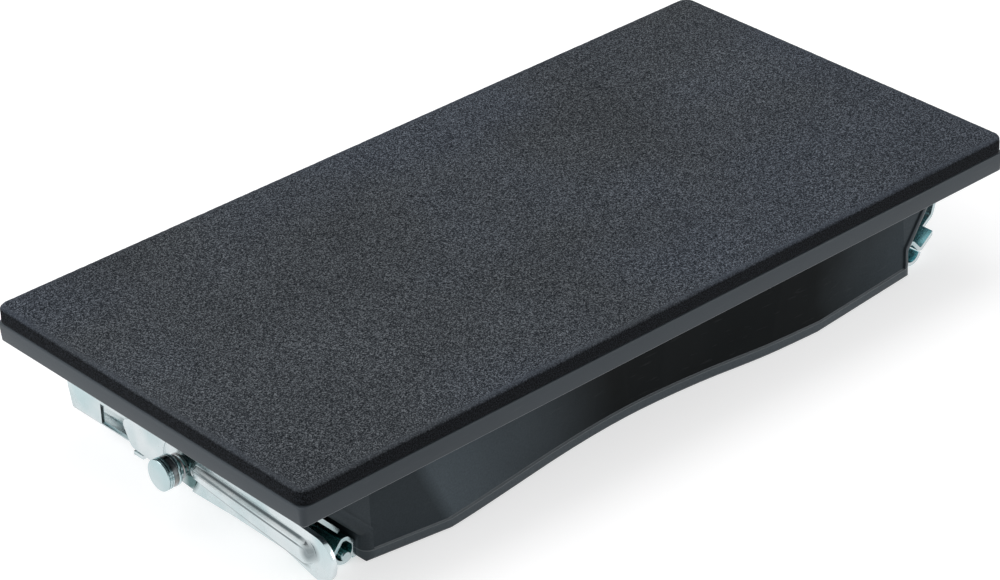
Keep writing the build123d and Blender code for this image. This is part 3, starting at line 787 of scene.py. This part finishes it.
@dataclass(frozen=True)
class Fastener:
    """Domed fasteners that repeat, made by one geometry node tree and turned into a plain mesh."""

    name: str
    head_radius: float
    head_height: float
    shank_radius: float
    length: float
    dome: float
    slot_width: float = 0.0
    slot_depth: float = 0.0
    along_block: bool = False
    round_steps: int = 40
    slot_reach: float = 1.24

    def sizes(self) -> dict[str, float]:
        """Name the tree's inputs.

        Returns:
            Their names and values.
        """
        return {"Head Radius": self.head_radius, "Head Height": self.head_height,
                "Shank Radius": self.shank_radius, "Length": self.length, "Dome": self.dome,
                "Slot Width": self.slot_width, "Slot Depth": self.slot_depth}

    def tree(self, material: Material) -> Tree:
        """Build the node tree that puts one fastener on each point.

        Args:
            material: The fasteners' finish.

        Returns:
            The tree, with its sizes as named inputs.
        """
        tree = bpy.data.node_groups.new(self.name, "GeometryNodeTree")
        for in_out in ("INPUT", "OUTPUT"):
            tree.interface.new_socket("Geometry", in_out=in_out, socket_type="NodeSocketGeometry")
        for title in self.sizes():
            tree.interface.new_socket(title, in_out="INPUT", socket_type="NodeSocketFloat")
        sheet = NodeSheet(tree)
        sizes, result = sheet.add("NodeGroupInput").outputs, sheet.add("NodeGroupOutput")
        plug = self.cylinder(sheet, sizes["Head Radius"], sizes["Head Height"], 0.0)
        ball = sheet.add("GeometryNodeMeshUVSphere", {
            "Segments": self.round_steps, "Rings": self.round_steps, "Radius": sizes["Dome"]})
        cap = self.lift(sheet, ball.outputs["Mesh"], sizes["Dome"])
        head = self.join(sheet, "INTERSECT", plug, cap)
        if self.slot_width:
            for long_axis, short_axis in (("X", "Y"), ("Y", "X")):
                size = sheet.add("ShaderNodeCombineXYZ", {
                    long_axis: sheet.times(sizes["Head Radius"], self.slot_reach),
                    short_axis: sizes["Slot Width"], "Z": sheet.times(sizes["Slot Depth"], 2.0)})
                blade = sheet.add("GeometryNodeMeshCube", {"Size": size.outputs[0]})
                head = self.join(sheet, "DIFFERENCE", head, blade.outputs["Mesh"])
        start = sheet.times(sizes["Head Height"], 0.5)
        shank = self.cylinder(sheet, sizes["Shank Radius"],
                              sheet.math("SUBTRACT", sizes["Length"], start), start)
        spots = sheet.add("GeometryNodeInstanceOnPoints", {
            "Points": sizes["Geometry"], "Instance": self.join(sheet, "UNION", head, shank)})
        if self.along_block:
            sheet.link(self.inward(sheet), spots.inputs["Rotation"])
        real = sheet.add("GeometryNodeRealizeInstances", {"Geometry": spots.outputs["Instances"]})
        finish = sheet.add("GeometryNodeSetMaterial", {
            "Geometry": real.outputs["Geometry"], "Material": material})
        sheet.link(finish.outputs["Geometry"], result.inputs["Geometry"])
        return tree

    def cylinder(self, sheet: NodeSheet, radius: Socket, height: Socket, start: object) -> Socket:
        """Add an upright cylinder that begins at a height.

        Args:
            sheet: The tree's sheet.
            radius: Its radius.
            height: Its height.
            start: Where it begins, a socket or a number.

        Returns:
            The mesh socket.
        """
        node = sheet.add("GeometryNodeMeshCylinder", {
            "Vertices": self.round_steps, "Radius": radius, "Depth": height})
        middle = sheet.math("ADD", sheet.times(height, 0.5), start)
        return self.lift(sheet, node.outputs["Mesh"], middle)

    def lift(self, sheet: NodeSheet, mesh: Socket, height: Socket) -> Socket:
        """Raise a mesh by a height.

        Args:
            sheet: The tree's sheet.
            mesh: The mesh.
            height: How far it goes up.

        Returns:
            The mesh socket.
        """
        offset = sheet.add("ShaderNodeCombineXYZ", {"Z": height})
        return sheet.add("GeometryNodeTransform", {
            "Geometry": mesh, "Translation": offset.outputs[0]}).outputs["Geometry"]

    def join(self, sheet: NodeSheet, operation: str, first: Socket, second: Socket) -> Socket:
        """Combine two meshes.

        Args:
            sheet: The tree's sheet.
            operation: UNION, INTERSECT or DIFFERENCE.
            first: The first mesh.
            second: The second mesh.

        Returns:
            The mesh socket.
        """
        node = sheet.add("GeometryNodeMeshBoolean", operation=operation, solver="EXACT")
        sheet.link(first, node.inputs[0] if operation == "DIFFERENCE" else node.inputs[1])
        sheet.link(second, node.inputs[1])
        return node.outputs["Mesh"]

    def inward(self, sheet: NodeSheet) -> Socket:
        """Turn each fastener so that it points at the block's middle along X.

        Args:
            sheet: The tree's sheet.

        Returns:
            The rotation's socket.
        """
        x, _, _ = sheet.split(sheet.add("GeometryNodeInputPosition").outputs["Position"])
        toward = sheet.add("ShaderNodeCombineXYZ", {"X": sheet.times(sheet.math("SIGN", x), -1.0)})
        turn = sheet.add("FunctionNodeAlignRotationToVector", {"Vector": toward.outputs[0]},
                         axis="Z")
        return turn.outputs["Rotation"]

    def build(self, spots: Sequence[Vector], material: Material) -> Piece:
        """Make the fasteners at their places.

        Args:
            spots: The middle of each head's outer face.
            material: Their finish.

        Returns:
            One piece that holds them all.
        """
        mesh = bpy.data.meshes.new(self.name + "_spots")
        mesh.from_pydata([tuple(spot) for spot in spots], [], [])
        piece = new_piece(self.name, mesh)
        modifier = piece.modifiers.new("fasteners", "NODES")
        modifier.node_group = self.tree(material)
        sizes = self.sizes()
        for item in modifier.node_group.interface.items_tree:
            if item.name in sizes:
                modifier[item.identifier] = sizes[item.name]
        return make_plain(piece, SOFT_ANGLE)


@dataclass(frozen=True)
class SandingFace:
    """The foam pad and the adhesive that holds it."""

    corner: float = 2.9 * MM
    edge: float = 1.0 * MM
    edge_steps: int = 8
    crown: float = 0.1 * MM
    crown_reach: float = 12 * MM
    swell_share: float = 0.6
    swell_scale: float = 55.0
    foot: float = 0.1 * MM
    fuzz: float = 0.1 * MM
    fuzz_scales: Pair = (1500.0, 500.0)
    fuzzy_share: float = 0.6
    around: int = 1240
    middle_gap: float = 0.3 * MM
    glue: Adhesive = Adhesive("contact_adhesive")

    def ring(self, half_x: float, half_y: float, inset: float) -> list[Pair]:
        """Points of a rounded rectangle, inset from the pad's outline.

        Args:
            half_x: Half of the pad's length.
            half_y: Half of its width.
            inset: Distance in from the outline.

        Returns:
            Points in order, the same number for any inset.
        """
        radius = max(self.corner - inset, 0.02 * MM)
        reach_x, reach_y = half_x - inset - radius, max(half_y - inset - radius, 0.0)
        corners = ((-reach_x, -reach_y), (reach_x, -reach_y), (reach_x, reach_y),
                   (-reach_x, reach_y))
        along = (half_x - self.corner) * 2
        across = (half_y - self.corner) * 2
        arc = math.pi / 2 * self.corner
        total = 2 * (along + across) + 4 * arc
        points = []
        for step in range(self.around):
            travel = step / self.around * total
            for quarter in range(4):
                side = along if quarter % 2 == 0 else across
                share, turn = 1.0, quarter * math.pi / 2 - math.pi / 2
                if travel <= side:
                    share = travel / side
                    break
                travel -= side
                if travel <= arc:
                    turn += travel / self.corner
                    break
                travel -= arc
            start, end = corners[quarter], corners[(quarter + 1) % 4]
            points.append((
                start[0] + (end[0] - start[0]) * share + radius * math.cos(turn),
                start[1] + (end[1] - start[1]) * share + radius * math.sin(turn),
            ))
        return points

    def rows(self, low: Vector, high: Vector) -> list[Pair]:
        """Insets and heights of the rings, from the foot up the side and in over the face.

        Args:
            low: The pad's low corner.
            high: Its high corner.

        Returns:
            The rings' insets and heights.
        """
        rows = [(2.0 * MM, low.z), (0.25 * MM, low.z), (0.05 * MM, low.z + 0.15 * MM)]
        rows += [(0.0, low.z + (high.z - self.edge - low.z) * share)
                 for share in (0.25, 0.5, 0.75, 1.0)]
        for step in range(1, self.edge_steps + 1):
            turn = step / self.edge_steps * math.pi / 2
            rows.append((self.edge * (1 - math.cos(turn)),
                         high.z - self.edge * (1 - math.sin(turn))))
        inset = self.edge
        while inset < high.y - 2.2 * MM:
            inset += min(2.6 * MM, 0.35 * MM + (inset - self.edge) * 0.25)
            rows.append((min(inset, high.y - 0.05 * MM), high.z))
        return rows + [(high.y - 0.02 * MM, high.z)]

    def settle(self, spot: Point, inset: float, low: Vector, high: Vector) -> Vector:
        """Give a point of the pad its crown, its swell and its fuzz.

        Args:
            spot: The point on the plain shape.
            inset: Its distance in from the outline.
            low: The pad's low corner.
            high: Its high corner.

        Returns:
            The point's place.
        """
        x, y, height = spot
        place = Vector(spot)
        swell = noise.noise(place * self.swell_scale) * self.crown * self.swell_share
        grit = sum(noise.noise(place * scale) * self.fuzz for scale in self.fuzz_scales)
        if height == high.z:
            place.z += swell - self.crown * (1 - min(1.0, inset / self.crown_reach))
        if height > low.z + self.foot:
            if inset < self.edge * self.fuzzy_share:
                place -= Vector((x / high.x, y / high.y, 0)).normalized() * abs(grit)
            place.z -= abs(grit) * 0.5
        return place

    def build(self) -> Piece:
        """Build the pad over its CAD solid, and dress the adhesive.

        Returns:
            The foam pad.
        """
        low, high = (Vector(corner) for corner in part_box("sanding_pad"))
        shape = bmesh.new()
        rings = [[shape.verts.new(self.settle((x, y, height), inset, low, high))
                  for x, y in self.ring(high.x, high.y, inset)]
                 for inset, height in self.rows(low, high)]
        for lower, upper in zip(rings, rings[1:]):
            for step in range(self.around):
                following = (step + 1) % self.around
                shape.faces.new((lower[step], lower[following], upper[following], upper[step]))
        shape.faces.new(list(reversed(rings[0])))
        bmesh.ops.remove_doubles(shape, verts=rings[-1], dist=self.middle_gap)
        bmesh.ops.holes_fill(shape, edges=[edge for edge in shape.edges if edge.is_boundary])
        pad = piece_of("foam_pad", shape)
        dress(pad, FoamRubber("foam_rubber", face_height=high.z, reach=tuple(high)).build())
        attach(pad, "block")
        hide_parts("sanding_pad")
        dress(bpy.data.objects["pad_adhesive"], self.glue.build())
        return pad


@dataclass
class Chassis:
    """The base plate, the grip under it, and the screws and rivets that hold things to it."""

    # Painted highlight strips: along the plate's lower edge, and near the foot of the grip's wall.
    plate: MouldedPlastic = MouldedPlastic(
        "plate_plastic", colour=(0.05, 0.061, 0.071), haze=(0.06, 0.072, 0.083), roughness=0.45,
        specular=0.2, highlight_strip=(0.24, 0.26, 0.28), highlight_low=22.74 * MM, highlight_high=23.06 * MM)
    grip: PaintedLightPlastic = PaintedLightPlastic(
        "grip_plastic", colour=(0.0025, 0.004, 0.0045), haze=(0.0045, 0.0065, 0.0075),
        roughness=0.36, specular=0.07, highlight_strip=(0.2, 0.22, 0.235), highlight_low=2.55 * MM,
        highlight_high=2.8 * MM)
    screw: ZincPlate = ZincPlate("screw_zinc", sheen=Sheen.DRAWN)
    flare_start: float = 49.5 * MM
    flare_full: float = 83.2 * MM
    flare_width: float = 2.2 * MM
    flare_wall: float = 34 * MM

    def fasten(self, kind: Fastener, names: Sequence[str], finish: Material) -> Piece:
        """Put one kind of fastener where the CAD has it.

        Args:
            kind: The fastener.
            names: The CAD nodes that it stands for.
            finish: Its material.

        Returns:
            The piece that holds them all.
        """
        spots = []
        for name in names:
            low, high = (Vector(corner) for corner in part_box(name))
            middle = (low + high) / 2
            if kind.along_block:
                middle.x = low.x if middle.x < 0 else high.x
            else:
                middle.z = low.z
            spots.append(middle)
        piece = kind.build(spots, finish)
        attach(piece, "block")
        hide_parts(*names)
        return piece

    def flare(self, piece: Piece) -> None:
        """Ease the grip's right end out to the left end's width.

        Args:
            piece: The grip.
        """
        for vertex in piece.data.vertices:
            x, y, _ = vertex.co
            if x > self.flare_start and abs(y) > self.flare_wall:
                share = min(1.0, (x - self.flare_start) / (self.flare_full - self.flare_start))
                vertex.co.y += math.copysign(self.flare_width * share, y)

    def build(self) -> list[Piece]:
        """Soften the mouldings' edges and dress them, the screws and the rivets.

        Returns:
            The plate, the grip, the screws and the rivets.
        """
        made = []
        for node, finish, slot, width in (
            ("base_plate", self.plate, "plate_plastic", 0.1 * MM),
            ("grip_shell", self.grip, "grip_plastic", 0.08 * MM),
        ):
            piece = Softener(width).copy(node, node + "_moulding")
            if node == "grip_shell":
                self.flare(piece)
            dress(piece, finish.build())
            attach(piece, "block")
            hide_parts(node)
            made.append(piece)
        steel = self.screw.build()
        names = [f"grip_screw_{number}" for number in range(1, 5)]
        low, high = (Vector(corner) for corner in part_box(names[0]))
        screws = Fastener("grip_screws", head_radius=(high.x - low.x) / 2, head_height=2.2 * MM,
                          shank_radius=1.6 * MM, length=high.z - low.z, dome=5.2 * MM,
                          slot_width=0.9 * MM, slot_depth=1.25 * MM)
        made.append(self.fasten(screws, names, steel))
        names = [f"{end.value}_bracket_rivet_{number}" for end in End for number in (1, 2)]
        low, high = (Vector(corner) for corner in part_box(names[0]))
        rivets = Fastener("bracket_rivets", head_radius=(high.z - low.z) / 2,
                          head_height=0.9 * MM, shank_radius=0.8 * MM, length=high.x - low.x,
                          dome=1.5 * MM, along_block=True)
        made.append(self.fasten(rivets, names, steel))
        return made


@dataclass
class EndClamp:
    """One end's bracket, jaw, lever, pivot and springs.

    The steps of the stud's profile are each a distance along it and a depth under its head.
    """

    end: End
    plate_edge: Softener = Softener(0.14 * MM)
    lever_edge: Softener = Softener(0.2 * MM, segments=3, clamp=False)
    turned_edge: Softener = Softener(0.08 * MM)
    wire_edge: Softener = Softener(0.0)
    stud_shank: float = 2.0 * MM
    stud_foot: float = 2.8 * MM
    stud_rim: tuple[Pair, ...] = ((0.0, 0.25 * MM), (0.06 * MM, 0.08 * MM), (0.2 * MM, 0.0))
    stud_back: tuple[Pair, ...] = ((1.62 * MM, 0.0), (1.7 * MM, 0.1 * MM))
    grooves: Pair = (0.42 * MM, 1.05 * MM)
    groove_steps: tuple[Pair, ...] = (
        (0.0, 0.0), (0.03 * MM, 0.16 * MM), (0.15 * MM, 0.16 * MM), (0.18 * MM, 0.0))
    turned_steps: int = 72
    sheet: FoldedZinc = FoldedZinc("zinc_sheet")
    lever: LeverZinc = LeverZinc("zinc_lever")
    turned: ZincPlate = ZincPlate("zinc_turned", sheen=Sheen.TURNED)
    wire: SpringWire = SpringWire("spring_wire")

    def finishes(self) -> dict[str, Material]:
        """Make the materials that both clamps share."""
        return {"zinc_sheet": self.sheet.build(), "zinc_lever": self.lever.build(),
                "zinc_turned": self.turned.build(), "spring_steel": self.wire.build()}

    def body_of(self, node: str) -> str:
        """Name the body that a node of this clamp moves with.

        Args:
            node: The node's name without its end.

        Returns:
            The body's name.
        """
        if node in ("lever", "push_pin"):
            return f"{self.end.value}_lever_body"
        if node in ("jaw", "jaw_spring"):
            return f"{self.end.value}_jaw_body"
        return "block"

    def soften(self, node: str, softener: Softener, finish: Material) -> Piece:
        """Replace one node by a copy with broken edges.

        Args:
            node: The node's name without its end.
            softener: What breaks its edges.
            finish: Its material.

        Returns:
            The new piece.
        """
        full = f"{self.end.value}_{node}"
        piece = softener.copy(full, full + "_plated")
        dress(piece, finish)
        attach(piece, self.body_of(node))
        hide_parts(full)
        return piece

    def stud(self, finish: Material) -> Piece:
        """Turn the pivot stud, with two fine grooves round its head.

        Args:
            finish: Its material.

        Returns:
            The stud.
        """
        node = f"{self.end.value}_pivot_stud"
        low, high = (Vector(corner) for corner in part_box(node))
        face, tail = (low.x, high.x) if self.end is End.LEFT else (high.x, low.x)
        head, shank, foot = (high.y - low.y) / 2, self.stud_shank, self.stud_foot
        depth = abs(tail - face)
        middle = (low + high) / 2
        steps = list(self.stud_rim)
        for groove in self.grooves:
            steps += [(groove + along, deep) for along, deep in self.groove_steps]
        steps += self.stud_back
        profile = [(0.0, 0.0), *((along, head - deep) for along, deep in steps)]
        profile += [(steps[-1][0], shank), (depth - 0.5 * MM, shank),
                    (depth - 0.5 * MM, foot - 0.1 * MM), (depth - 0.4 * MM, foot),
                    (depth - 0.12 * MM, foot), (depth, foot - 0.12 * MM), (depth, 0.0)]
        shape = bmesh.new()
        spokes = [shape.verts.new((face - self.end.sign * reach, middle.y, middle.z + radius))
                  for reach, radius in profile]
        edges = [shape.edges.new(pair) for pair in zip(spokes, spokes[1:])]
        bmesh.ops.spin(shape, geom=spokes + edges, cent=(face, middle.y, middle.z), axis=(1, 0, 0),
                       angle=math.tau, steps=self.turned_steps, use_merge=False)
        bmesh.ops.remove_doubles(shape, verts=shape.verts, dist=0.002 * MM)
        piece = piece_of(node + "_turned", shape)
        piece.data.set_sharp_from_angle(angle=SOFT_ANGLE)
        dress(piece, finish)
        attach(piece, "block")
        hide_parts(node)
        return piece

    def build(self, finishes: dict[str, Material]) -> list[Piece]:
        """Dress the clamp's pieces.

        Args:
            finishes: Materials by slot, and the lever's own.

        Returns:
            The pieces made.
        """
        made = [self.soften(node, self.plate_edge, finishes["zinc_sheet"])
                for node in ("bracket", "jaw")]
        made.append(self.soften("lever", self.lever_edge, finishes["zinc_lever"]))
        made += [self.soften(node, self.turned_edge, finishes["zinc_turned"])
                 for node in ("hinge_rod", "push_pin", "flat_washer")]
        made.append(self.stud(finishes["zinc_turned"]))
        made += [self.soften(node, self.wire_edge, finishes["spring_steel"])
                 for node in ("spring_washer", "jaw_spring", "lever_spring")]
        return made


@dataclass(frozen=True)
class Panel:
    """A soft light panel, and whether metal shows it."""

    name: str
    place: Point
    size: Pair
    power: float
    mirrored: bool = True

    def hang(self, aim: Point) -> None:
        """Hang the panel so that it points at a spot.

        Args:
            aim: The spot.
        """
        data = bpy.data.lights.new(self.name, "AREA")
        data.shape = "RECTANGLE"
        data.size, data.size_y = self.size
        data.energy = self.power
        light = bpy.data.objects.new(self.name, data)
        light.visible_glossy = self.mirrored
        bpy.context.scene.collection.objects.link(light)
        turn = (Vector(self.place) - Vector(aim)).to_track_quat("Z", "Y")
        light.matrix_world = Matrix.Translation(self.place) @ turn.to_matrix().to_4x4()


@dataclass
class Studio:
    """The camera, lights, floor and background."""

    azimuth: float = math.radians(-40.739)
    elevation: float = math.radians(30.458)
    roll: float = math.radians(-2.418)
    camera_place: Point = (-0.48785, -0.56044, 0.45)
    lens: float = 137.3
    sensor: float = 36.0
    surround: float = 0.3
    floor_reach: float = 3.0
    floor_drop: float = -0.05 * MM
    floor_colour: Colour = (0.55, 0.55, 0.555)
    floor_glow: float = 0.62
    aim: Point = (0, 0, 0.02)
    panels: tuple[Panel, ...] = (
        Panel("key_panel", (-0.85, 0.25, 0.6), (1.3, 0.9), 7.0, mirrored=False),
        Panel("top_panel", (0.1, 0.5, 1.2), (1.4, 0.9), 8.0),
        Panel("fill_panel", (0.55, -0.6, 0.25), (0.6, 0.4), 2.2),
    )

    def camera(self) -> None:
        """Place the camera as the photograph was taken."""
        back = Vector((math.sin(self.azimuth) * math.cos(self.elevation),
                       -math.cos(self.azimuth) * math.cos(self.elevation),
                       math.sin(self.elevation)))
        level = Vector((math.cos(self.azimuth), math.sin(self.azimuth), 0.0))
        upright = back.cross(level)
        right = level * math.cos(self.roll) + upright * math.sin(self.roll)
        upward = upright * math.cos(self.roll) - level * math.sin(self.roll)
        data = bpy.data.cameras.new("camera")
        data.lens = self.lens
        data.sensor_width = self.sensor
        data.clip_end = 50.0
        camera = bpy.data.objects.new("camera", data)
        bpy.context.scene.collection.objects.link(camera)
        turn = Matrix((right, upward, back)).transposed()
        camera.matrix_world = Matrix.Translation(self.camera_place) @ turn.to_4x4()
        bpy.context.scene.camera = camera

    def backdrop(self) -> None:
        """Make the world white to the camera and in reflections, and soft as a light."""
        world = bpy.data.worlds.new("studio")
        bpy.context.scene.world = world
        world.use_nodes = True
        world.node_tree.nodes.clear()
        sheet = NodeSheet(world.node_tree)
        strength = sheet.spread(seen_ray(sheet), 0.0, 1.0, self.surround)
        glow = sheet.add("ShaderNodeBackground", {"Color": WHITE, "Strength": strength})
        sheet.add("ShaderNodeOutputWorld", {"Surface": glow.outputs["Background"]})

    def floor(self) -> None:
        """Lay a plain pale floor that keeps the block's shadow and is clear from below."""
        reach, drop = self.floor_reach, self.floor_drop
        mesh = bpy.data.meshes.new("studio_floor")
        mesh.from_pydata([(-reach, -reach, drop), (reach, -reach, drop), (reach, reach, drop),
                          (-reach, reach, drop)], [], [(0, 1, 2, 3)])
        floor = new_piece("studio_floor", mesh)
        paint = Paint("pale_floor")
        sheet = paint.sheet
        paint.set(Base_Color=self.floor_colour, Roughness=0.9, Specular_IOR_Level=0.0,
                  Emission_Color=WHITE,
                  Emission_Strength=sheet.spread(seen_ray(sheet), 0.0, 1.0, 0.0, self.floor_glow))
        both = sheet.add("ShaderNodeMixShader", {
            "Fac": sheet.add("ShaderNodeNewGeometry").outputs["Backfacing"],
            1: paint.shader.outputs["BSDF"],
            2: sheet.add("ShaderNodeBsdfTransparent").outputs["BSDF"]})
        output = sheet.tree.nodes["Material Output"]
        sheet.link(both.outputs["Shader"], output.inputs["Surface"])
        dress(floor, paint.material)

    def build(self) -> None:
        """Set up the lights, the floor and the background."""
        self.backdrop()
        self.floor()
        for panel in self.panels:
            panel.hang(self.aim)
        bpy.context.scene.view_settings.view_transform = "Standard"


def main() -> None:
    """Build the block and its studio, and report each piece."""
    studio = Studio()
    studio.camera()
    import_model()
    shop_wear_group()
    fine_grain_group()
    made = [SandingFace().build(), *Chassis().build()]
    clamps = [EndClamp(end) for end in End]
    finishes = clamps[0].finishes()
    for clamp in clamps:
        made += clamp.build(finishes)
    for piece in made:
        log.info("%s: %d faces", piece.name, len(piece.data.polygons))
    studio.build()


if __name__ == "__main__":
    main()
